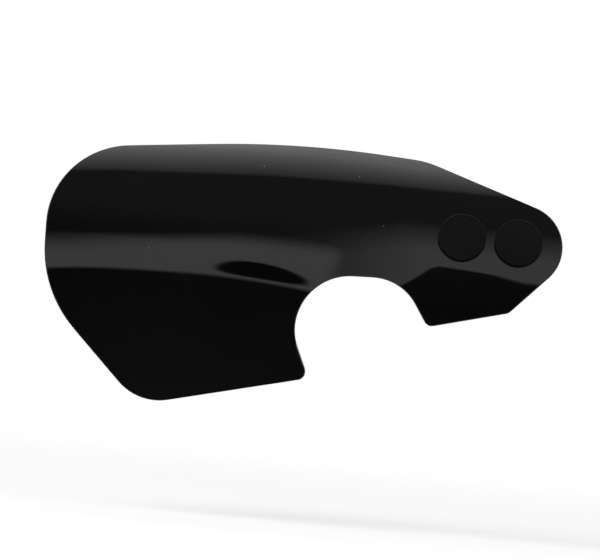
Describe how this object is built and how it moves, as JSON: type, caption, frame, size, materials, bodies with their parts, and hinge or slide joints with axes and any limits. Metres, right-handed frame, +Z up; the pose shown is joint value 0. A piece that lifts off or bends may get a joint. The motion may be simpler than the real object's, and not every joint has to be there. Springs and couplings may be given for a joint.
{
  "type": "motorcycle hand guard",
  "caption": "Bowed black acrylic hand guard on a folded steel bracket, held by rubber mounts and clamped under a mirror stem with an internal-tooth lock washer.",
  "frame": {"origin": "centre of the mirror-stem bore on the underside of the bracket's tongue, the face that sits on the lever perch", "axes": "+Z up along the stem bore, -Y to the front that meets the wind, -X outboard along the grip"},
  "size_m": [0.2727, 0.0618, 0.1427],
  "materials": {
    "shield": "polished black acrylic sheet",
    "bracket": "satin black powder coat on steel",
    "rubber": "matte black moulded rubber",
    "washer": "zinc-plated spring steel"
  },
  "bodies": {
    "root": {"shield": "shield", "bracket": "bracket", "rubber_mount_outer": "rubber", "rubber_mount_inner": "rubber", "lock_washer": "washer"}
  },
  "joints": []
}
